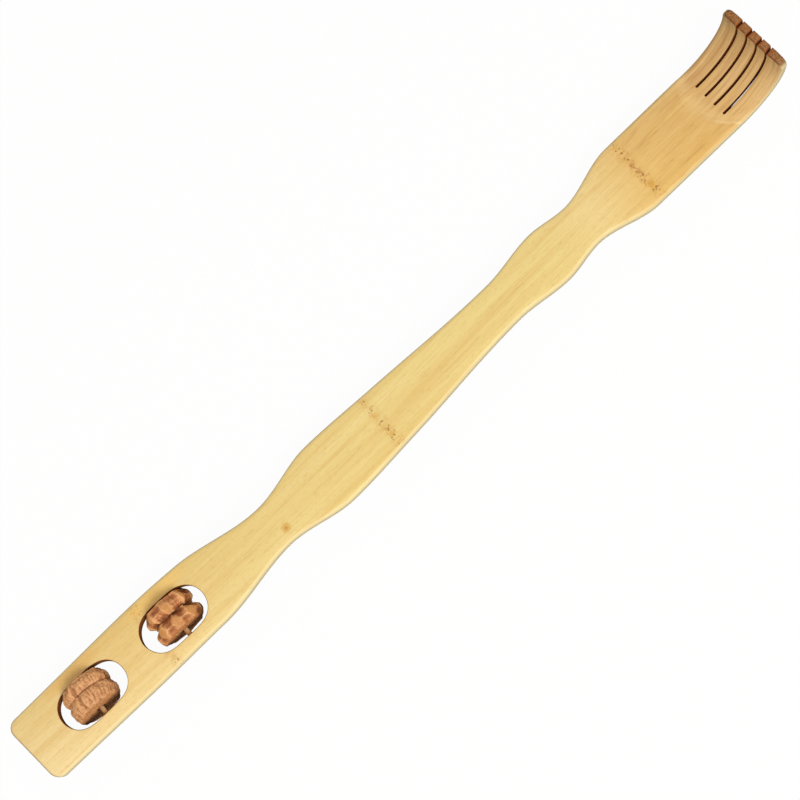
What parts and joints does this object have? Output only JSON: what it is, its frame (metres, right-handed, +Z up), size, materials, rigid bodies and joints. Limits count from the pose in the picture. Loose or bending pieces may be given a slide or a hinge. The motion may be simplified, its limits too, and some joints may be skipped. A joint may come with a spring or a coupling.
{
  "type": "back scratcher",
  "caption": "Bamboo back scratcher: a scalloped flat handle bent up into a slotted claw, with carved massage rollers turning on cross pins in oval windows at its butt end.",
  "frame": {"origin": "on the flat underside of the slat, on its centre line, halfway along the straight length", "axes": "+X along the slat from the butt end to the claw, +Y across the slat, +Z up, the way the fingers curl"},
  "size_m": [0.5, 0.0398, 0.0451],
  "materials": {
    "bamboo": "satin",
    "carved_wood": "satin",
    "bamboo_pin": "matte"
  },
  "bodies": {
    "handle": {"bamboo_handle": "bamboo", "upper_axle": "bamboo_pin", "lower_axle": "bamboo_pin"},
    "upper_roller": {"upper_roller": "carved_wood"},
    "lower_roller": {"lower_roller": "carved_wood"}
  },
  "joints": [
    {"name": "upper_roller_spin", "type": "hinge", "parent": "handle", "child": "upper_roller", "pos_m": [-0.1327, 0, 0.0035], "axis": [0, 1, 0], "continuous": true},
    {"name": "lower_roller_spin", "type": "hinge", "parent": "handle", "child": "lower_roller", "pos_m": [-0.1903, 0, 0.0035], "axis": [0, 1, 0], "continuous": true}
  ]
}
